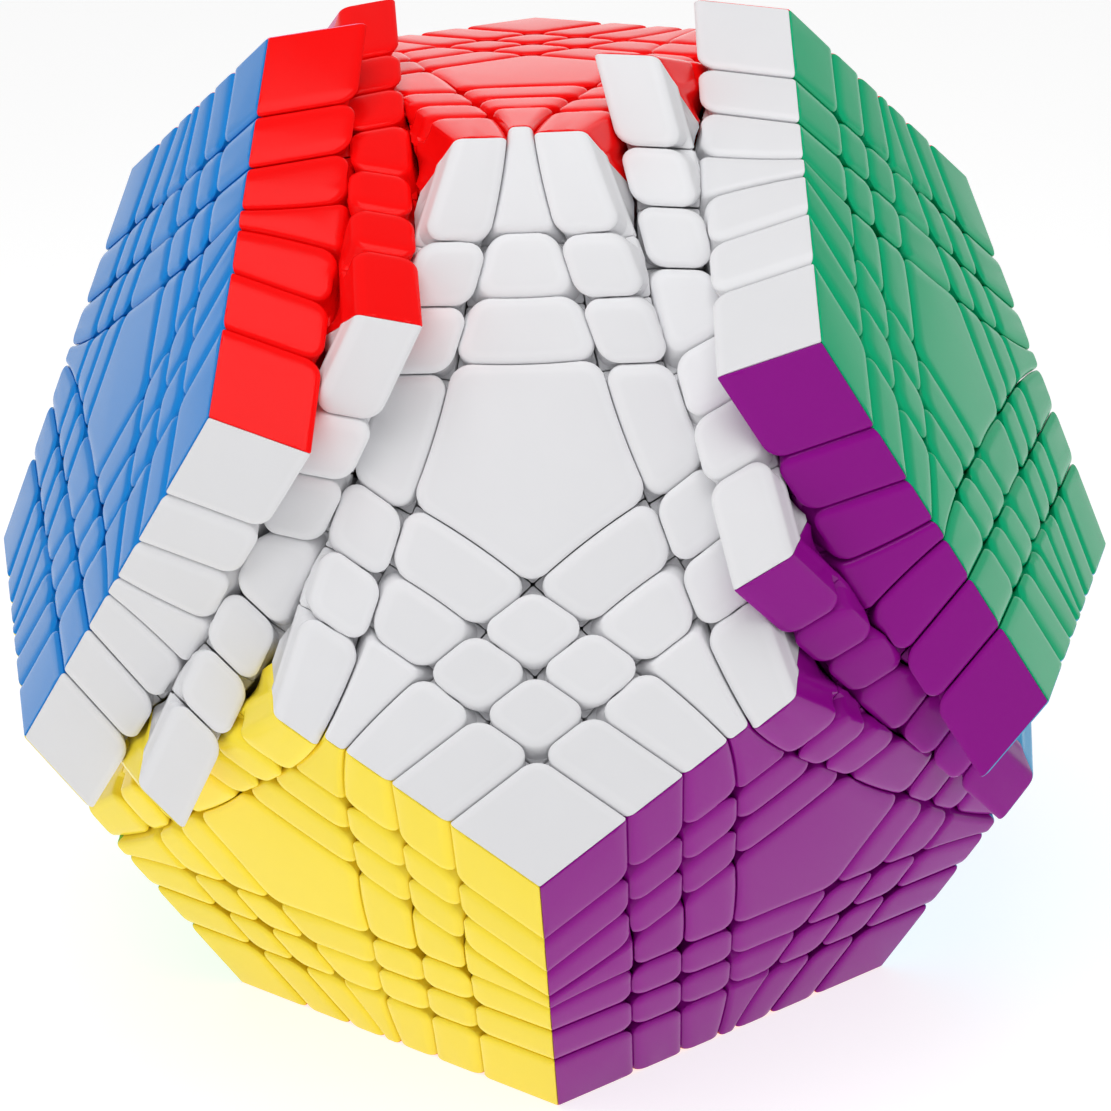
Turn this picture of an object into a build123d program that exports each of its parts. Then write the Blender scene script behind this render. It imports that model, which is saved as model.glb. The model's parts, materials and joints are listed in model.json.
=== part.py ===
from build123d import *
import os
from math import atan, cos, degrees, radians, sin, tan

# A seven-layer twisty puzzle in the shape of a dodecahedron, in millimetres.  It stands on its
# orange face, with its origin at the middle of that face and +Z up.  Round each of the twelve
# face axes it is cut at three depths.  Two faces that don't touch, the left (blue) and the right
# (green), are shown in the middle of their turns, so their layers are separate moving bodies.

# Outer shape
FACE_DISTANCE = 63.0            # from the puzzle's centre to each face
SIDES = 5
FACE_TILT = degrees(atan(2))    # between the axes of two faces that touch
STEP = 360 / SIDES

# Cuts.  A cut is a surface of revolution round a face axis: a cone out to the edge of what a turn
# can uncover, and a plane beyond it.
CUT_DEPTHS = {1: 52.05, 2: 45.25, 3: 38.3}
FLARE_START = 53.0              # the third cut curves outward from this radius
FLARE_END = (62.3, 40.1)        # radius and depth of the third cut at the rim
CUT_SHIFT = 0.13                # each side of a cut stands this far back along the face axis
REACH = 90.0                    # far enough out to pass every piece
CAP_START = 20.0                # nearer to the centre than any piece
CAP_TOP = 70.0
SEAM = 216.0                    # direction in which round surfaces close, clear of every cell

# Shells, as distances from the puzzle's centre
HEAD_START = 50.3               # coloured pieces start here
FOOT_TOP = 49.9
FOOT_START = 46.0
FOOT_SPREAD = 2.5               # degrees by which a foot reaches under its outer neighbour
NECK_INSET = 0.5                # a foot's neck stands this far back along each face axis
NECK_SINK = 1.0                 # depth of the neck within its own plate
BALL_RADIUS = 45.6
BALL_WALL = 3.6

# Core, screws and springs
HUB_RADIUS = 15.0
ARM_RADIUS = 4.4
ARM_END = 45.7
ARM_HOLE_RADIUS = 4.7
SCREW_RADIUS = 1.45
SCREW_START = 33.0
SCREW_BORE_RADIUS = 1.6
SCREW_BORE_DEPTH = 14.0
SCREW_HEAD_START = 56.4
SCREW_HEAD_RADIUS = 3.1
SCREW_HEAD_HEIGHT = 1.9
SCREW_SLOT = (4.2, 0.7, 0.9)    # length, width and depth of each arm of the driver cross
FOOT_BORE_RADIUS = 1.75
WASHER_RADIUS = 3.4
WASHER_THICKNESS = 0.7
WASHER_BORE_RADIUS = 1.6
SPRING_OUTER_RADIUS = 3.1
SPRING_INNER_RADIUS = 2.2
POCKET_RADIUS = 4.0
POCKET_END = 59.4
CLOSE = 0.02                    # between pieces that press on each other

# Faces, from the front round to the right
UPPER_RING = ("white", "green", "cream", "pink", "blue")
LOWER_RING = ("purple", "light_blue", "grey", "light_green", "yellow")
UPPER_START = -90.0
LOWER_START = -54.0

# Angles at which the layers stand, outermost first, right-handed about the outward face axis
TURNS = {
    ("left", "blue"): (-43.5, -26.2, -1.5),
    ("right", "green"): (-36.4, -13.8, 0.9),
}
LAYER_NAMES = ("outer_layer", "second_layer", "third_layer")

CENTRE = Vector(0, 0, FACE_DISTANCE)
LAYERS = (1, 2, 3)
STANDING = (Align.CENTER, Align.CENTER, Align.MIN)


def direction(tilt, turn):
    """Unit vector at an angle from +Z, turned about Z."""
    across = sin(radians(tilt))
    return Vector(across * cos(radians(turn)), across * sin(radians(turn)), cos(radians(tilt)))


def face_normals():
    """Outward direction of each face, by colour."""
    normals = {"red": Vector(0, 0, 1), "orange": Vector(0, 0, -1)}
    for step, colour in enumerate(UPPER_RING):
        normals[colour] = direction(FACE_TILT, UPPER_START + STEP * step)
    for step, colour in enumerate(LOWER_RING):
        normals[colour] = direction(180 - FACE_TILT, LOWER_START + STEP * step)
    return normals


NORMALS = face_normals()


def level_direction(face, other):
    """Direction towards another face's axis, square to this face's axis."""
    axis = NORMALS[face]
    return (NORMALS[other] - axis * axis.dot(NORMALS[other])).normalized()


def neighbour_pairs(face):
    """Each touching face with the next one anticlockwise, seen from outside."""
    touching = [other for other in NORMALS if 0.4 < NORMALS[face].dot(NORMALS[other]) < 0.5]
    pairs = []
    for first in touching:
        for second in touching:
            sideways = level_direction(face, first).cross(level_direction(face, second))
            if level_direction(face, first).dot(level_direction(face, second)) > 0.2:
                if 0.8 < sideways.dot(NORMALS[face]) < 1.0:
                    pairs.append((first, second))
    return pairs


# ---- cutting tools, round +Z with the puzzle's centre at the origin


def cut_rim(layer):
    """Radius at which a cut meets the middle of a side, where its cone ends."""
    depth = CUT_DEPTHS[layer]
    lean = radians(FACE_TILT)
    return (FACE_DISTANCE - depth * cos(lean)) / sin(lean)


def cut_angle(layer):
    """Half angle of a cut's cone."""
    return degrees(atan(cut_rim(layer) / CUT_DEPTHS[layer]))


def head_cap(layer):
    """All that lies outside one cut, as it divides the coloured pieces."""
    depth = CUT_DEPTHS[layer]
    rim = (cut_rim(layer), depth)
    start = (CAP_START * cut_rim(layer) / depth, CAP_START)
    with BuildPart() as cap:
        with BuildSketch(Plane.XZ):
            with BuildLine():
                if layer == 3:
                    Polyline((0, CAP_START), start, rim, (FLARE_START, depth))
                    arc = TangentArc((FLARE_START, depth), FLARE_END, tangent=(1, 0))
                    rise = (REACH - FLARE_END[0]) * (arc % 1).Y / (arc % 1).X
                    edge = (REACH, FLARE_END[1] + rise)
                    Polyline(FLARE_END, edge, (REACH, CAP_TOP), (0, CAP_TOP), (0, CAP_START))
                else:
                    Polyline((0, CAP_START), start, rim, (REACH, depth))
                    Polyline((REACH, depth), (REACH, CAP_TOP), (0, CAP_TOP), (0, CAP_START))
            make_face()
        revolve(axis=Axis.Z)
    return cap.part


def cone_cap(angle):
    """All that lies inside a cone whose point is at the puzzle's centre."""
    slope = tan(radians(angle))
    with BuildPart() as cap:
        with Locations((0, 0, CAP_START)):
            Cone(CAP_START * slope, CAP_TOP * slope, CAP_TOP - CAP_START, align=STANDING)
    return cap.part


def shell(inner, outer):
    """Ball shell between two radii."""
    with BuildPart() as ball:
        Sphere(outer, rotation=(0, 0, SEAM))
        Sphere(inner, rotation=(0, 0, SEAM), mode=Mode.SUBTRACT)
    return ball.part


HEAD_CAPS = {layer: head_cap(layer) for layer in LAYERS}
FOOT_CAPS = {layer: cone_cap(cut_angle(layer) + FOOT_SPREAD) for layer in LAYERS}
NECK_CAPS = {layer: cone_cap(cut_angle(layer)) for layer in LAYERS}


def toward(step, shift):
    """Plane square to a neighbouring face's axis, a little way along it."""
    axis = direction(FACE_TILT, STEP * step)
    away = axis * axis.Z - Vector(0, 0, 1)
    return Plane(origin=axis * shift, x_dir=away, z_dir=axis)


def keep_between(kept, removed, layer, step, gap):
    """Keep the part of the piece in hand that lies in one layer of a neighbouring face."""
    with Locations(toward(step, gap)):
        add(kept[layer], mode=Mode.INTERSECT)
    if layer > 1:
        with Locations(toward(step, -gap)):
            add(removed[layer - 1], mode=Mode.SUBTRACT)


def cut_to_cell(kept, removed, cell, gap):
    """Cut the block in hand to one cell: its layers of the faces at steps 0 and 1."""
    first, second = cell
    if first:
        keep_between(kept, removed, first, 0, gap)
    if second:
        keep_between(kept, removed, second, 1, gap)
    else:
        for step in (1, -1) if first else range(SIDES):
            with Locations(toward(step, -gap)):
                add(removed[3], mode=Mode.SUBTRACT)


def face_block():
    """One face's share of the outer shell, between the planes through its edges and the centre."""
    with BuildPart() as block:
        Cylinder(FACE_DISTANCE, FACE_DISTANCE, align=STANDING)
        for step in range(SIDES):
            bisector = direction(FACE_TILT, STEP * step) - Vector(0, 0, 1)
            split(bisect_by=Plane(origin=(0, 0, 0), z_dir=bisector), keep=Keep.BOTTOM)
        Sphere(HEAD_START, rotation=(0, 0, SEAM), mode=Mode.SUBTRACT)
    return block.part


# A cell is a pair of layer numbers, towards one neighbouring face and towards the next one
# anticlockwise, where 0 is in none of that face's layers.
CORNER = (1, 1)
EDGE_MIDDLE = (1, 0)
CENTRE_CELL = (0, 0)
HEAD_CELLS = [(a, b) for a in LAYERS for b in LAYERS] + [(a, 0) for a in LAYERS] + [CENTRE_CELL]
FOOT_CELLS = [cell for cell in HEAD_CELLS if cell not in ((2, 1), (3, 1))]


def head(cell, block):
    """The part of a piece that shows, in one face's colour."""
    with BuildPart() as piece:
        add(block)
        cut_to_cell(HEAD_CAPS, HEAD_CAPS, cell, CUT_SHIFT)
        if cell == CENTRE_CELL:
            with Locations((0, 0, HEAD_START - 2)):
                Cylinder(
                    POCKET_RADIUS,
                    POCKET_END - HEAD_START + 2,
                    align=STANDING,
                    mode=Mode.SUBTRACT,
                )
    return piece.part


def foot_part(cell, kept, inner, outer, gap):
    """One layer of a foot: a cell of a ball shell, clear of the plates beside its own."""
    with BuildPart() as piece:
        add(shell(inner, outer))
        with Locations(Plane(origin=(0, 0, gap), x_dir=direction(90, SEAM), z_dir=(0, 0, 1))):
            add(kept[1], mode=Mode.INTERSECT)
        cut_to_cell(kept, FOOT_CAPS, cell, gap)
    return piece.part


def foot(cell):
    """The inner part of a piece: a wide plate under the neighbours, and a neck to its own head."""
    plate = foot_part(cell, FOOT_CAPS, FOOT_START, FOOT_TOP, CUT_SHIFT)
    neck = foot_part(cell, NECK_CAPS, FOOT_TOP - NECK_SINK, HEAD_START, NECK_INSET)
    with BuildPart() as piece:
        add(plate)
        add(neck)
        if cell == CENTRE_CELL:
            with Locations((0, 0, FOOT_START - 2)):
                Cylinder(
                    FOOT_BORE_RADIUS,
                    HEAD_START - FOOT_START + 4,
                    align=STANDING,
                    mode=Mode.SUBTRACT,
                )
    return piece.part


# ---- placing the pieces


def layer_of(face, first, second, cell):
    """The turning side, its face and the layer that a piece is in, or None for the main body."""
    layers = {face: 1, first: cell[0], second: cell[1]}
    for side, axis_face in TURNS:
        if layers.get(axis_face, 0):
            return side, axis_face, layers[axis_face]
    return None


def body_name(layer):
    """Name of the body that a layer belongs to."""
    if layer is None:
        return "main"
    return layer[0] + "_" + LAYER_NAMES[layer[2] - 1]


def piece_plane(face, first, layer):
    """Where a piece stands: its face's axis and first neighbour, turned with its layer."""
    axis = NORMALS[face]
    side = level_direction(face, first)
    if layer is not None:
        turn_axis = Axis((0, 0, 0), NORMALS[layer[1]])
        turn = TURNS[layer[:2]][layer[2] - 1]
        axis = axis.rotate(turn_axis, turn)
        side = side.rotate(turn_axis, turn)
    return Plane(origin=CENTRE, x_dir=side, z_dir=axis)


def places(cells):
    """Every piece: its face, the two neighbours that place it, and its cell."""
    for face in NORMALS:
        pairs = neighbour_pairs(face)
        for cell in cells:
            for first, second in pairs[:1] if cell == CENTRE_CELL else pairs:
                yield face, first, second, cell


def seen_first(face, first, second, cell):
    """True for one of the faces that share a piece, so that its foot is made once."""
    order = list(NORMALS)
    if cell == CORNER:
        return order.index(face) < min(order.index(first), order.index(second))
    if cell == EDGE_MIDDLE:
        return order.index(face) < order.index(first)
    return True


def write(name, part):
    """Label a finished piece and write its file."""
    part.label = name
    export_step(part, f"parts/{name}.step", write_pcurves=False)


def write_copies(name, copies):
    """Write one node of separate solids: copies of finished shapes, each on its plane."""
    write(name, Compound([shape.solid().moved(plane.location) for shape, plane in copies]))


def write_heads():
    """Coloured pieces, one node for each colour of each body."""
    block = face_block()
    shapes = {cell: head(cell, block) for cell in HEAD_CELLS}
    groups = {}
    for face, first, second, cell in places(HEAD_CELLS):
        layer = layer_of(face, first, second, cell)
        name = f"{body_name(layer)}_{face}_pieces"
        groups.setdefault(name, []).append((shapes[cell], piece_plane(face, first, layer)))
    for name, copies in groups.items():
        write_copies(name, copies)


def write_feet():
    """Feet, one node for each body."""
    shapes = {cell: foot(cell) for cell in FOOT_CELLS}
    groups = {}
    for face, first, second, cell in places(FOOT_CELLS):
        if seen_first(face, first, second, cell):
            layer = layer_of(face, first, second, cell)
            name = f"{body_name(layer)}_feet"
            groups.setdefault(name, []).append((shapes[cell], piece_plane(face, first, layer)))
    for name, copies in groups.items():
        write_copies(name, copies)


# ---- core


def axis_planes(distance):
    """Planes square to the twelve face axes, at one distance from the centre."""
    return [Plane(origin=CENTRE + axis * distance, z_dir=axis) for axis in NORMALS.values()]


def write_core():
    """Twelve-armed core with a blind bore for a screw in each arm."""
    with BuildPart() as core:
        with Locations(CENTRE):
            Sphere(HUB_RADIUS)
        with Locations(*axis_planes(0)):
            Cylinder(ARM_RADIUS, ARM_END, align=STANDING)
        with Locations(*axis_planes(ARM_END - SCREW_BORE_DEPTH)):
            Cylinder(
                SCREW_BORE_RADIUS,
                SCREW_BORE_DEPTH + 1,
                align=STANDING,
                mode=Mode.SUBTRACT,
            )
    write("core", core.part)


def write_ball_halves():
    """Ball on which the feet slide, in two shells that close round the core's arms."""
    for name, side in (("core_ball_upper_half", Keep.TOP), ("core_ball_lower_half", Keep.BOTTOM)):
        with BuildPart() as half:
            with Locations(CENTRE):
                Sphere(BALL_RADIUS)
                Sphere(BALL_RADIUS - BALL_WALL, mode=Mode.SUBTRACT)
            with Locations(*axis_planes(HUB_RADIUS)):
                Cylinder(
                    ARM_HOLE_RADIUS,
                    BALL_RADIUS,
                    align=STANDING,
                    mode=Mode.SUBTRACT,
                )
            split(bisect_by=Plane(origin=CENTRE), keep=side)
        write(name, half.part)


def write_screws():
    """Screws that hold the centres to the core, with a cross in each head."""
    with BuildPart() as screw:
        Cylinder(SCREW_RADIUS, SCREW_HEAD_START - SCREW_START, align=STANDING)
        with Locations((0, 0, SCREW_HEAD_START - SCREW_START)):
            Cylinder(SCREW_HEAD_RADIUS, SCREW_HEAD_HEIGHT, align=STANDING)
        top = screw.faces().sort_by(Axis.Z)[-1]
        with BuildSketch(Plane(top)):
            Rectangle(SCREW_SLOT[0], SCREW_SLOT[1])
            Rectangle(SCREW_SLOT[1], SCREW_SLOT[0])
        extrude(amount=-SCREW_SLOT[2], mode=Mode.SUBTRACT)
    write_copies("centre_screws", [(screw.part, plane) for plane in axis_planes(SCREW_START)])


def write_washers():
    """Washers between the screw heads and the springs."""
    with BuildPart() as washers:
        with Locations(*axis_planes(SCREW_HEAD_START - WASHER_THICKNESS)):
            Cylinder(WASHER_RADIUS, WASHER_THICKNESS, align=STANDING)
            Cylinder(
                WASHER_BORE_RADIUS,
                WASHER_THICKNESS,
                align=STANDING,
                mode=Mode.SUBTRACT,
            )
    write("spring_washers", washers.part)


def write_springs():
    """Springs that press the centres on to the core, each as the sleeve that its coil fills."""
    height = SCREW_HEAD_START - WASHER_THICKNESS - HEAD_START
    with BuildPart() as spring:
        with Locations((0, 0, CLOSE)):
            Cylinder(SPRING_OUTER_RADIUS, height - 2 * CLOSE, align=STANDING)
            Cylinder(SPRING_INNER_RADIUS, height - 2 * CLOSE, align=STANDING, mode=Mode.SUBTRACT)
    write_copies("centre_springs", [(spring.part, plane) for plane in axis_planes(HEAD_START)])


def main():
    os.makedirs("parts", exist_ok=True)
    write_heads()
    write_feet()
    write_core()
    write_ball_halves()
    write_screws()
    write_washers()
    write_springs()


main()
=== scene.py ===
import json
import math
import random

import bpy
import numpy as np
from mathutils import Matrix, Vector


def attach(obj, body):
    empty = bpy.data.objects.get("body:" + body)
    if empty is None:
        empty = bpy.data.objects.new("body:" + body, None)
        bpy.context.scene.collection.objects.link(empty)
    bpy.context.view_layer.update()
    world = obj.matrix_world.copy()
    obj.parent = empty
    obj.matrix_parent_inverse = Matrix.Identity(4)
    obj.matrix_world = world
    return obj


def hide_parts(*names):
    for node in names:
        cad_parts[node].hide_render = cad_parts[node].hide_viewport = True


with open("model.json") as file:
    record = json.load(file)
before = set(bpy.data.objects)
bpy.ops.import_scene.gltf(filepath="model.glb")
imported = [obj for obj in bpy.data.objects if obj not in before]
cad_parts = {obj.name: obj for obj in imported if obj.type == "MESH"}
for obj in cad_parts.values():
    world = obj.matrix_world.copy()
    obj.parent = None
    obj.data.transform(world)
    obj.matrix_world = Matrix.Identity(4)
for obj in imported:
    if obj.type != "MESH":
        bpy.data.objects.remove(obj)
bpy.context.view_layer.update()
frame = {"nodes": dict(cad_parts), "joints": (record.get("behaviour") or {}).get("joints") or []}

# The looks of a seven-layer dodecahedral twisty puzzle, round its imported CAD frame.  Each piece is
# a hard moulding with rounded corners.  There are thirteen shapes of moulding on a face; each is
# made once, and copied to the twelve faces in the places where the frame's layers stand.

MM = 0.001

# ---- the puzzle's geometry, in metres

SIDES = 5
STEP = math.radians(360 / SIDES)
TILT = math.atan(2)             # between the axes of two faces that touch
FACE_DISTANCE = frame["joints"][0]["pos_m"][2]
CENTRE = np.array([0, 0, FACE_DISTANCE])
HOME = np.array([0, 0, 1.0])

# The cuts of the frame: depth along the face axis, and where the third cut flares outward
CUT_DEPTHS = {1: 52.05 * MM, 2: 45.25 * MM, 3: 38.3 * MM}
INNERMOST = max(CUT_DEPTHS)
FLARE_START = 53.0 * MM
FLARE_END = (62.3 * MM, 40.1 * MM)
HEAD_START = 50.35 * MM         # mouldings end this far from the puzzle's centre
GAP = 0.09 * MM                 # from a cut to the moulding on either side of it
SEAM_GAP = 0.01 * MM            # from the seam between two colours to either moulding
POCKET_RADIUS = 4.0 * MM        # round the screw, under the middle of a face
POCKET_END = 59.4 * MM

# The angles at which the frame's layers stand, outermost first, about the outward face axis
TURNS = {
    "left": ("blue", (-43.5, -26.2, -1.5)),
    "right": ("green", (-36.4, -13.8, 0.9)),
}
LAYER_NAMES = ("outer_layer", "second_layer", "third_layer")

# Rounding of the mouldings' corners, and how finely their outlines are divided
CRISP = 0.2 * MM                # from a corner on the puzzle's own edge to where it gets round
CORNER_SHARE = 0.4              # the most of a side that one corner takes
ARC_STEPS = 6
SIDE_STEPS = 6
LONG_STEPS = 11                 # on the sides of cells that lie between third cuts
SETTLE_STEPS = 5                # rounds of moving points on to their surfaces

# Rings of a moulding, from the top face outward and down, in mm: drop below the face, inset from
# the cuts, inset from the puzzle's edges, and from a grid crossing to where its rounding starts
RINGS = (
    (0.000, 2.10, 0.60, 0.6),
    (0.030, 1.35, 0.17, 1.05),
    (0.080, 0.88, 0.10, 1.4),
    (0.160, 0.52, 0.035, 1.75),
    (0.270, 0.25, 0.002, 2.0),
    (0.400, 0.08, 0.0, 2.15),
    (0.560, 0.0, 0.0, 2.2),
    (1.000, 0.01, 0.0, 2.2),
    (1.600, 0.03, 0.0, 2.2),
    (2.200, 0.05, 0.0, 2.15),
    (2.700, 0.06, 0.0, 2.0),
    (2.900, 0.01, 0.0, 0.3),
    (3.500, 0.01, 0.0, 0.3),
    (4.300, 0.40, 0.0, 0.3),
)
FILLET = (0.07, 0.5)            # rings with a drop between these, in mm, are the rounded rim
SINKING = (0.15, 0.4, 0.7, 1.0)  # lower rings, as shares of the way from flat to the ball within
NARROW_CELL = (1, 0)
NARROW_SHARE = 0.42             # share of the insets that a narrow moulding has room for

# Faces round the red top, then round the orange bottom, anticlockwise from above
UPPER_RING = ("white", "green", "cream", "pink", "blue")
LOWER_RING = ("purple", "light_blue", "grey", "light_green", "yellow")
UPPER_START = math.radians(-90)
LOWER_START = math.radians(-54)
TOLERANCE = 0.01                # in comparing the directions of faces
SHARP_ANGLE = math.radians(30)  # edges of a mesh with a larger angle stay sharp
SEED = 7                        # of the pieces' shades


def direction(tilt, turn):
    """Unit vector at an angle from +Z, turned about Z."""
    across = math.sin(tilt)
    return np.array([across * math.cos(turn), across * math.sin(turn), math.cos(tilt)])


def face_normals():
    """Outward direction of each face, by colour."""
    normals = {"red": HOME, "orange": -HOME}
    for step, colour in enumerate(UPPER_RING):
        normals[colour] = direction(TILT, UPPER_START + STEP * step)
    for step, colour in enumerate(LOWER_RING):
        normals[colour] = direction(math.pi - TILT, LOWER_START + STEP * step)
    return normals


NORMALS = face_normals()


def level_direction(face, other):
    """Direction towards another face's axis, square to this face's axis."""
    side = NORMALS[other] - NORMALS[face] * NORMALS[face].dot(NORMALS[other])
    return side / np.linalg.norm(side)


def is_at(angle, start, end, axis=None):
    """Whether two directions are at an angle, anticlockwise about an axis if one is given."""
    if axis is not None and not np.cross(start, end).dot(axis) > 0:
        return False
    return abs(start.dot(end) - math.cos(angle)) < TOLERANCE


def neighbour_pairs(face):
    """Each touching face with the next one anticlockwise, seen from outside."""
    up = NORMALS[face]
    ways = {
        other: level_direction(face, other)
        for other, normal in NORMALS.items() if is_at(TILT, up, normal)
    }
    return [(first, second) for first in ways for second in ways
            if is_at(STEP, ways[first], ways[second], axis=up)]


# ---- surfaces that bound a moulding, seen in a frame with its face's axis up.  Each is a function
# of points that gives their values, above zero on the moulding's side, and the values' gradients.


def cut_profile(layer, radius):
    """Height and slope of a cut along its face's axis, at a radius from that axis."""
    depth = CUT_DEPTHS[layer]
    rim = (FACE_DISTANCE - depth * math.cos(TILT)) / math.sin(TILT)
    height = np.minimum(radius / rim, 1) * depth
    slope = np.where(radius < rim, depth / rim, 0)
    if layer < INNERMOST:
        return height, slope
    run, rise = FLARE_END[0] - FLARE_START, FLARE_END[1] - depth
    bend = (run * run + rise * rise) / (2 * rise)
    past = np.clip(radius - FLARE_START, 0, run)
    upright = np.sqrt(bend * bend - past * past)
    beyond = np.maximum(radius - FLARE_END[0], 0)
    return height + bend - upright + beyond * past / upright, slope + past / upright


def cut_side(layer, step, sign):
    """A side along a cut of a neighbouring face."""
    axis = direction(TILT, STEP * step)

    def surface(points):
        along = points @ axis
        across = points - along[:, None] * axis
        radius = np.linalg.norm(across, axis=1)
        height, slope = cut_profile(layer, radius)
        gradient = axis - (slope / radius)[:, None] * across
        return sign * (along - height) - GAP, sign * gradient

    return surface


def edge_side(step):
    """A side along the puzzle's own edge."""
    across = HOME - direction(TILT, STEP * step)
    across = across / np.linalg.norm(across)
    return lambda points: (points @ across - SEAM_GAP, np.tile(across, (len(points), 1)))


def inset_side(side, inset):
    """A side moved into its moulding by a distance measured across the face."""

    def surface(points):
        value, gradient = side(points)
        return value - inset * np.linalg.norm(gradient[:, :2], axis=1), gradient

    return surface


def level_surface(drop, sinking):
    """What a ring lies on: flat at a drop below the face, or part of the way to the ball within."""

    def surface(points):
        reach = np.linalg.norm(points, axis=1)
        flat = points[:, 2] - (FACE_DISTANCE - drop)
        gradient = HOME * (1 - sinking) + points / reach[:, None] * sinking
        return flat * (1 - sinking) + (reach - HEAD_START) * sinking, gradient

    return surface


def settle(points, surfaces):
    """Move points by the shortest way on to all of these surfaces."""
    for _ in range(SETTLE_STEPS):
        values, gradients = zip(*(surface(points) for surface in surfaces))
        step = np.linalg.pinv(np.stack(gradients, axis=1))
        points = points - np.einsum("nij,nj->ni", step, np.stack(values, axis=1))
    return points


# ---- cells.  A cell is a pair of layer numbers, towards one neighbouring face and towards the
# next one anticlockwise, where 0 is in none of that face's layers.

LAYERS = tuple(CUT_DEPTHS)
CENTRE_CELL = (0, 0)
CELLS = [(a, b) for a in LAYERS for b in LAYERS] + [(a, 0) for a in LAYERS] + [CENTRE_CELL]
REACH = {0: 0.0, 1: 33.0 * MM, 2: 23.0 * MM, 3: 15.0 * MM}    # from the face's middle to a layer


def outer_side(layer, step):
    """The side of a cell away from the middle of the face, and whether it is the puzzle's edge."""
    if layer == 1:
        return edge_side(step), True
    return cut_side(layer - 1, step, -1), False


def cell_sides(cell):
    """A cell's sides in order anticlockwise, each with True if it is the puzzle's own edge."""
    first, second = cell
    if not first:
        return [(cut_side(INNERMOST, step, -1), False) for step in range(SIDES)]
    inner = (cut_side(first, 0, 1), False)
    if not second:
        beside = [(cut_side(INNERMOST, step, -1), False) for step in (-1, 1)]
        return [inner, beside[0], outer_side(first, 0), beside[1]]
    return [inner, (cut_side(second, 1, 1), False), outer_side(first, 0), outer_side(second, 1)]


def cell_middle(cell):
    """A point on the face, somewhere in the cell."""
    first, second = cell
    if first and second:
        ways = np.array([[1, 0], [math.cos(STEP), math.sin(STEP)]])
        across = np.linalg.solve(ways, [REACH[first], REACH[second]])
    else:
        across = (REACH[first], 0)
    return np.array([*across, FACE_DISTANCE])


# ---- the mesh of a moulding


def arc(start, corner, end):
    """Points between the two ends of a rounded corner, round its arc."""
    into, out = corner - start, end - corner
    cosine = into.dot(out) / (np.linalg.norm(into) * np.linalg.norm(out))
    weight = math.sqrt((1 + cosine) / 2)
    points = []
    for t in np.linspace(0, 1, ARC_STEPS + 1)[1:-1]:
        shares = np.array([(1 - t) ** 2, 2 * weight * t * (1 - t), t * t])
        points.append(shares @ np.array([start, corner, end]) / shares.sum())
    return points


def outline(sides, level, corners, is_edge, rounding, steps):
    """One closed ring of points: along each side, then round the corner at its end."""
    following = np.roll(corners, -1, axis=0)
    lengths = np.linalg.norm(following - corners, axis=1)
    trims = []
    for i in range(len(sides)):
        wanted = CRISP if is_edge[i] or is_edge[i - 1] else rounding
        trims.append(min(wanted, CORNER_SHARE * lengths[i], CORNER_SHARE * lengths[i - 1]))
    runs = []
    for i, side in enumerate(sides):
        low, high = trims[i] / lengths[i], 1 - trims[i - len(sides) + 1] / lengths[i]
        shares = np.linspace(low, high, steps + 1)[:, None]
        straight = corners[i] * (1 - shares) + following[i] * shares
        runs.append(settle(straight, [side, level]))
    ring = []
    for i, run in enumerate(runs):
        ring.extend(run)
        ring.extend(arc(run[-1], following[i], runs[i - len(sides) + 1][0]))
    return np.array(ring)


def ring_levels():
    """Share of the way to the ball, drop, insets and rounding of every ring, in metres."""
    levels = [(0, *(length * MM for length in ring)) for ring in RINGS]
    return levels + [(sinking, *levels[-1][1:]) for sinking in SINKING]


def cell_rings(cell):
    """All rings of a cell's moulding, from the top face outward and down to the ball."""
    described = cell_sides(cell)
    is_edge = [edge for _, edge in described]
    share = NARROW_SHARE if cell == NARROW_CELL else 1
    steps = SIDE_STEPS if cell[1] else LONG_STEPS
    corners = np.array([cell_middle(cell)] * len(described))
    rings = []
    for sinking, drop, cut_inset, edge_inset, rounding in ring_levels():
        level = level_surface(drop, sinking)
        insets = [(edge_inset if edge else cut_inset) * share for edge in is_edge]
        sides = [inset_side(side, inset) for (side, _), inset in zip(described, insets)]
        for i in range(len(sides)):
            corners[i] = settle(corners[i : i + 1], [sides[i - 1], sides[i], level])[0]
        rings.append(outline(sides, level, corners, is_edge, rounding * share, steps))
    return rings


def pocket_rings(around):
    """The two ends of the screw's pocket, with a point for each point of the ring around it."""
    turns = np.arctan2(around[:, 1], around[:, 0])
    across = [np.cos(turns) * POCKET_RADIUS, np.sin(turns) * POCKET_RADIUS]
    heights = [np.full(len(turns), height) for height in (HEAD_START, POCKET_END)]
    return [np.stack([*across, height], axis=1) for height in heights]


def moulding(cell):
    """Vertices, faces and each vertex's part in the rounded rim, for one cell.

    The top is one face, and the underside a fan round its middle, which a screw's pocket raises.
    """
    rings = cell_rings(cell)
    rim = [float(FILLET[0] < level[1] / MM < FILLET[1]) for level in ring_levels()]
    middle = rings[-1].mean(axis=0)
    middle *= HEAD_START / np.linalg.norm(middle)
    if cell == CENTRE_CELL:
        rings.extend(pocket_rings(rings[-1]))
        rim.extend((0.0, 0.0))
        middle[2] = POCKET_END
    count = len(rings[0])
    faces = [tuple(range(count))]
    for upper in range(0, count * (len(rings) - 1), count):
        for i in range(count):
            beside = (i + 1) % count
            faces.append((upper + i, upper + count + i, upper + count + beside, upper + beside))
    last = count * (len(rings) - 1)
    end = last + count
    faces.extend((last + (i + 1) % count, last + i, end) for i in range(count))
    return np.concatenate([*rings, middle[None]]), faces, np.append(np.repeat(rim, count), 0.0)


# ---- placing the mouldings


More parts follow.
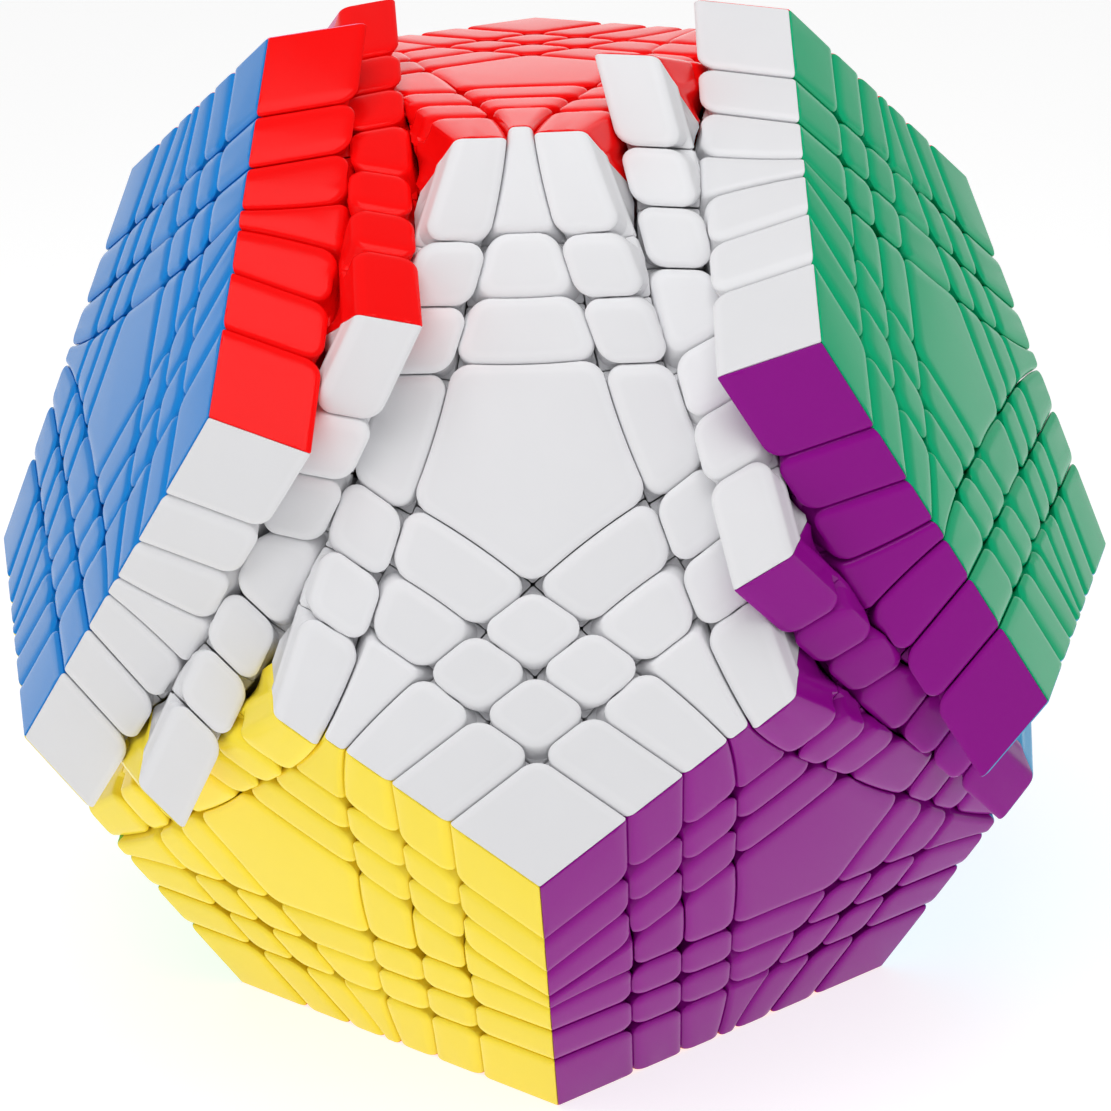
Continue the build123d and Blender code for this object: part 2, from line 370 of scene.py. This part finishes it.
def layer_of(face, first, second, cell):
    """Body that a piece belongs to, and the rotation from the solved puzzle to where it stands."""
    layers = {face: 1, first: cell[0], second: cell[1]}
    for side, (axis_face, angles) in TURNS.items():
        layer = layers.get(axis_face, 0)
        if layer:
            turn = Matrix.Rotation(math.radians(angles[layer - 1]), 3, Vector(NORMALS[axis_face]))
            return f"{side}_{LAYER_NAMES[layer - 1]}", np.array(turn)
    return "main", np.eye(3)


def places():
    """Every moulding: its face, the two neighbours that place it, and its cell."""
    for face in NORMALS:
        pairs = neighbour_pairs(face)
        for cell in CELLS:
            for first, second in pairs[:1] if cell == CENTRE_CELL else pairs:
                yield face, first, second, cell


def face_frame(face, first):
    """Axes of a face: towards a neighbour, across, and outward."""
    along = level_direction(face, first)
    return np.stack([along, np.cross(NORMALS[face], along), NORMALS[face]], axis=1)


def add_mesh(name, vertices, faces):
    """A smooth-shaded object with sharp edges kept."""
    mesh = bpy.data.meshes.new(name)
    mesh.from_pydata(vertices, [], faces)
    mesh.shade_smooth()
    mesh.set_sharp_from_angle(angle=SHARP_ANGLE)
    made = bpy.data.objects.new(name, mesh)
    bpy.context.scene.collection.objects.link(made)
    return made


def joined(shapes):
    """Vertices and faces of several meshes as one."""
    vertices, faces = [], []
    for points, shape_faces in shapes:
        start = len(vertices)
        vertices.extend(points.tolist())
        faces.extend(tuple(start + i for i in corners) for corners in shape_faces)
    return vertices, faces


def store(mesh, name, values):
    """One number on each vertex, for the materials to read."""
    mesh.attributes.new(name, "FLOAT", "POINT").data.foreach_set("value", values)


def add_mouldings(materials):
    """The coloured pieces, one object for each colour of each body."""
    shapes = {cell: moulding(cell) for cell in CELLS}
    draw = random.Random(SEED)
    groups = {}
    for face, first, second, cell in places():
        body, turn = layer_of(face, first, second, cell)
        vertices, faces, rim = shapes[cell]
        stands = vertices @ (turn @ face_frame(face, first)).T + CENTRE
        batch = np.full(len(rim), draw.random())
        groups.setdefault((body, face), []).append((stands, faces, rim, batch))
    for (body, colour), pieces in groups.items():
        stands, faces, rims, batches = zip(*pieces)
        made = add_mesh(f"{body}_{colour}_mouldings", *joined(zip(stands, faces)))
        store(made.data, "rim", np.concatenate(rims))
        store(made.data, "batch", np.concatenate(batches))
        made.data.materials.append(materials[colour])
        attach(made, body)
        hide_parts(f"{body}_{colour}_pieces")


# ---- springs

SPRING_START = 50.34 * MM       # from the puzzle's centre to the lower end of a coil
SPRING_END = 55.66 * MM
SPRING_RADIUS = 2.65 * MM       # to the middle of the wire
WIRE_RADIUS = 0.36 * MM
SPRING_TURNS = 5
TURN_STEPS = 28
WIRE_STEPS = 10


def spring_coil():
    """Vertices and faces of a coil round +Z, closed at both ends."""
    count = SPRING_TURNS * TURN_STEPS + 1
    rise = (SPRING_END - SPRING_START - 2 * WIRE_RADIUS) / (count - 1)
    vertices, faces = [], []
    for i in range(count):
        turn = math.tau * i / TURN_STEPS
        for j in range(WIRE_STEPS):
            round_wire = math.tau * j / WIRE_STEPS
            reach = SPRING_RADIUS + WIRE_RADIUS * math.cos(round_wire)
            height = SPRING_START + WIRE_RADIUS * (1 + math.sin(round_wire)) + rise * i
            vertices.append((reach * math.cos(turn), reach * math.sin(turn), height))
    last = (count - 1) * WIRE_STEPS
    for here in range(0, last, WIRE_STEPS):
        ahead = here + WIRE_STEPS
        for j in range(WIRE_STEPS):
            beside = (j + 1) % WIRE_STEPS
            faces.append((here + j, ahead + j, ahead + beside, here + beside))
    faces.append(tuple(range(WIRE_STEPS)))
    faces.append(tuple(reversed(range(last, last + WIRE_STEPS))))
    return np.array(vertices), faces


def add_springs(material):
    """A coil under the screw head in the middle of each face."""
    coil, coil_faces = spring_coil()
    frames = [face_frame(face, neighbour_pairs(face)[0][0]) for face in NORMALS]
    coils = joined((coil @ axes.T + CENTRE, coil_faces) for axes in frames)
    made = add_mesh("centre_spring_coils", *coils)
    made.data.materials.append(material)
    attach(made, "main")
    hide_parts("centre_springs")


# ---- materials

PLASTICS = {
    "white": (0.81, 0.81, 0.83),
    "red": (1.0, 0.004, 0.004),
    "blue": (0.008, 0.235, 0.68),
    "green": (0.002, 0.43, 0.185),
    "purple": (0.285, 0.004, 0.265),
    "yellow": (1.0, 0.79, 0.05),
    "orange": (0.86, 0.19, 0.01),
    "grey": (0.20, 0.21, 0.22),
    "cream": (0.82, 0.70, 0.42),
    "pink": (0.85, 0.27, 0.46),
    "light_blue": (0.13, 0.50, 0.82),
    "light_green": (0.22, 0.62, 0.07),
}


def start_material(name):
    """A node material, its node tree and its shader."""
    material = bpy.data.materials.new(name)
    material.use_nodes = True
    return material, material.node_tree, material.node_tree.nodes["Principled BSDF"]


def noise(tree, scale, detail=2.0):
    """Noise in the object's own space, with features of one over the scale in metres."""
    where = tree.nodes.new("ShaderNodeTexCoord")
    made = tree.nodes.new("ShaderNodeTexNoise")
    made.inputs["Scale"].default_value = scale
    made.inputs["Detail"].default_value = detail
    tree.links.new(where.outputs["Object"], made.inputs["Vector"])
    return made.outputs["Fac"]


def spread(tree, value, low, high):
    """A value from 0 to 1, moved to another range."""
    made = tree.nodes.new("ShaderNodeMapRange")
    made.inputs["To Min"].default_value = low
    made.inputs["To Max"].default_value = high
    tree.links.new(value, made.inputs["Value"])
    return made.outputs["Result"]


def combine(tree, operation, first, second):
    """Two values joined by arithmetic."""
    made = tree.nodes.new("ShaderNodeMath")
    made.operation = operation
    tree.links.new(first, made.inputs[0])
    tree.links.new(second, made.inputs[1])
    return made.outputs["Value"]


def stored(tree, name):
    """A number stored on the mesh."""
    made = tree.nodes.new("ShaderNodeAttribute")
    made.attribute_name = name
    return made.outputs["Fac"]


def tint(tree, shader, colour, value):
    """Base colour, brightened or darkened by a value near 1."""
    made = tree.nodes.new("ShaderNodeHueSaturation")
    made.inputs["Color"].default_value = (*colour, 1)
    tree.links.new(value, made.inputs["Value"])
    tree.links.new(made.outputs["Color"], shader.inputs["Base Color"])


def bump(tree, shader, height, depth):
    """Surface relief of a depth in metres."""
    made = tree.nodes.new("ShaderNodeBump")
    made.inputs["Distance"].default_value = depth
    tree.links.new(height, made.inputs["Height"])
    tree.links.new(made.outputs["Normal"], shader.inputs["Normal"])


def moulded_plastic(name, colour):
    """Satin coloured plastic: each piece has its own shade and a faint waviness, and its rounded rim
    has a painted highlight in the base colour.
    """
    material, tree, shader = start_material(name)
    shader.inputs["Specular IOR Level"].default_value = 0.1
    mottle = spread(tree, noise(tree, scale=160), low=-0.012, high=0.012)
    shade = spread(tree, stored(tree, "batch"), low=0.972, high=1.012)
    # The rounded rim's base colour is made brighter: a painted highlight where the rim catches the
    # light.
    painted_rim_highlight = spread(tree, stored(tree, "rim"), low=0, high=0.025)
    tint(tree, shader, colour, combine(tree, "ADD", combine(tree, "ADD", shade, mottle), painted_rim_highlight))
    satin = spread(tree, noise(tree, scale=420, detail=4), low=0.13, high=0.20)
    polish = spread(tree, stored(tree, "rim"), low=0, high=0.03)
    tree.links.new(combine(tree, "SUBTRACT", satin, polish), shader.inputs["Roughness"])
    bump(tree, shader, noise(tree, scale=3200, detail=3), depth=0.0035 * MM)
    return material


def uneven(name, colour, shade, gloss, relief, metallic=0.0):
    """Material whose shade, roughness and relief each follow a noise of their own.

    Each is given as the noise's scale and detail, then the lowest and highest value that it gives,
    or for the relief its depth in mm.
    """
    material, tree, shader = start_material(name)
    shader.inputs["Metallic"].default_value = metallic
    scale, detail, low, high = shade
    tint(tree, shader, colour, spread(tree, noise(tree, scale, detail), low, high))
    scale, detail, low, high = gloss
    tree.links.new(spread(tree, noise(tree, scale, detail), low, high), shader.inputs["Roughness"])
    scale, detail, depth = relief
    bump(tree, shader, noise(tree, scale, detail), depth * MM)
    return material


def foot_plastic():
    """Dark slippery plastic with an uneven sheen."""
    return uneven(
        "foot plastic", (0.035, 0.036, 0.04),
        shade=(260, 2, 0.8, 1.25), gloss=(900, 4, 0.36, 0.58), relief=(2600, 3, 0.008),
    )


def core_plastic():
    """Dark engineering plastic with a fine spark-eroded grain."""
    return uneven(
        "core plastic", (0.06, 0.061, 0.066),
        shade=(180, 2, 0.85, 1.15), gloss=(700, 3, 0.42, 0.6), relief=(3800, 2, 0.012),
    )


def bright_steel(name, colour, grain):
    """Plated or drawn steel with an uneven gloss, finer with a larger grain number."""
    return uneven(
        name, colour, metallic=1.0,
        shade=(300, 2, 0.9, 1.08), gloss=(grain, 5, 0.2, 0.42), relief=(2 * grain, 3, 0.004),
    )


def finish_cad_nodes():
    """Materials for the nodes that keep the frame's own shape."""
    dark, core = foot_plastic(), core_plastic()
    zinc = bright_steel("zinc steel", (0.62, 0.62, 0.60), grain=1500)
    for name, node in frame["nodes"].items():
        if name.endswith("_feet"):
            finish = dark
        elif name.startswith("core"):
            finish = core
        elif name in ("centre_screws", "spring_washers"):
            finish = zinc
        else:
            continue
        node.data.materials.clear()
        node.data.materials.append(finish)


# ---- camera, floor and light.  Azimuths are in degrees from the front towards +X, seen from
# above, and elevations are in degrees.

AIM = Vector((1.20, -1.50, 58.94)) * MM
CAMERA_DISTANCE = 0.336
CAMERA_AZIMUTH = 1.48
CAMERA_ELEVATION = 20.63
CAMERA_ROLL = -2.197
LENS = 78.08

WHITE = (1, 1, 1, 1)
FLOOR_REACH = 30.0              # from the middle to each side, in metres
FLOOR_GREY = (0.5, 0.5, 0.5, 1)
FLOOR_GLOW = 0.75
SKY_STRENGTHS = (0.31, 1.2)     # in front, and straight behind the puzzle
SKY_RISE_START = 0.62           # share of +Y in a direction from which the sky gets brighter

# Softboxes by name: azimuth, elevation, distance and size in metres, power in watts
SOFTBOXES = {
    "key": (-14, 66, 0.5, 0.4, 1.38),
    "left": (-60, 25, 0.8, 0.4, 0.4),
    "right": (60, 25, 0.8, 0.4, 0.4),
}


def way_back(azimuth, elevation):
    """Unit vector from the puzzle towards a camera or light."""
    turn, tilt = math.radians(azimuth), math.radians(elevation)
    level = math.cos(tilt)
    return Vector((level * math.sin(turn), -level * math.cos(turn), math.sin(tilt)))


def add_looking(name, data, target, back, distance):
    """A camera or light that looks at a target from a distance."""
    made = bpy.data.objects.new(name, data)
    made.rotation_mode = "QUATERNION"
    made.rotation_quaternion = back.to_track_quat("Z", "Y")
    made.location = target + back * distance
    bpy.context.scene.collection.objects.link(made)
    return made


def add_camera():
    """Camera in front of the white face, looking a little down."""
    back = way_back(CAMERA_AZIMUTH, CAMERA_ELEVATION)
    data = bpy.data.cameras.new("camera")
    data.lens = LENS
    camera = add_looking("camera", data, AIM, back, CAMERA_DISTANCE)
    roll = Matrix.Rotation(math.radians(CAMERA_ROLL), 3, back).to_quaternion()
    camera.rotation_quaternion = roll @ camera.rotation_quaternion
    bpy.context.scene.camera = camera


def add_floor():
    """Plain pale floor that reaches to the horizon."""
    signs = ((-1, -1), (1, -1), (1, 1), (-1, 1))
    corners = [(x * FLOOR_REACH, y * FLOOR_REACH, 0) for x, y in signs]
    floor = add_mesh("floor", corners, [(0, 1, 2, 3)])
    material, _, shader = start_material("floor")
    shader.inputs["Roughness"].default_value = 0.9
    shader.inputs["Base Color"].default_value = FLOOR_GREY
    shader.inputs["Emission Color"].default_value = WHITE
    shader.inputs["Emission Strength"].default_value = FLOOR_GLOW
    floor.data.materials.append(material)


def add_softbox(name, azimuth, elevation, distance, size, power):
    """Square soft light that faces the puzzle's centre."""
    data = bpy.data.lights.new(name, "AREA")
    data.shape = "SQUARE"
    data.size = size
    data.energy = power
    add_looking(name, data, Vector(CENTRE), way_back(azimuth, elevation), distance)


def light_surroundings():
    """White sky, brightest behind the puzzle, where its sloping faces mirror it."""
    world = bpy.data.worlds.new("studio")
    world.use_nodes = True
    tree = world.node_tree
    where = tree.nodes.new("ShaderNodeTexCoord")
    parts = tree.nodes.new("ShaderNodeSeparateXYZ")
    tree.links.new(where.outputs["Generated"], parts.inputs["Vector"])
    behind = tree.nodes.new("ShaderNodeMapRange")
    behind.inputs["From Min"].default_value = SKY_RISE_START
    tree.links.new(parts.outputs["Y"], behind.inputs["Value"])
    rise = combine(tree, "MULTIPLY", behind.outputs["Result"], behind.outputs["Result"])
    sky = tree.nodes["Background"]
    sky.inputs["Color"].default_value = WHITE
    tree.links.new(spread(tree, rise, *SKY_STRENGTHS), sky.inputs["Strength"])
    bpy.context.scene.world = world


def add_studio():
    """White surroundings, a soft key above the camera and a weaker light on each side."""
    light_surroundings()
    for name, placing in SOFTBOXES.items():
        add_softbox(name, *placing)
    bpy.context.scene.view_settings.view_transform = "Standard"


plastics = {colour: moulded_plastic(f"{colour} plastic", rgb) for colour, rgb in PLASTICS.items()}
add_mouldings(plastics)
add_springs(bright_steel("spring steel", (0.56, 0.56, 0.57), grain=2200))
finish_cad_nodes()
add_camera()
add_floor()
add_studio()
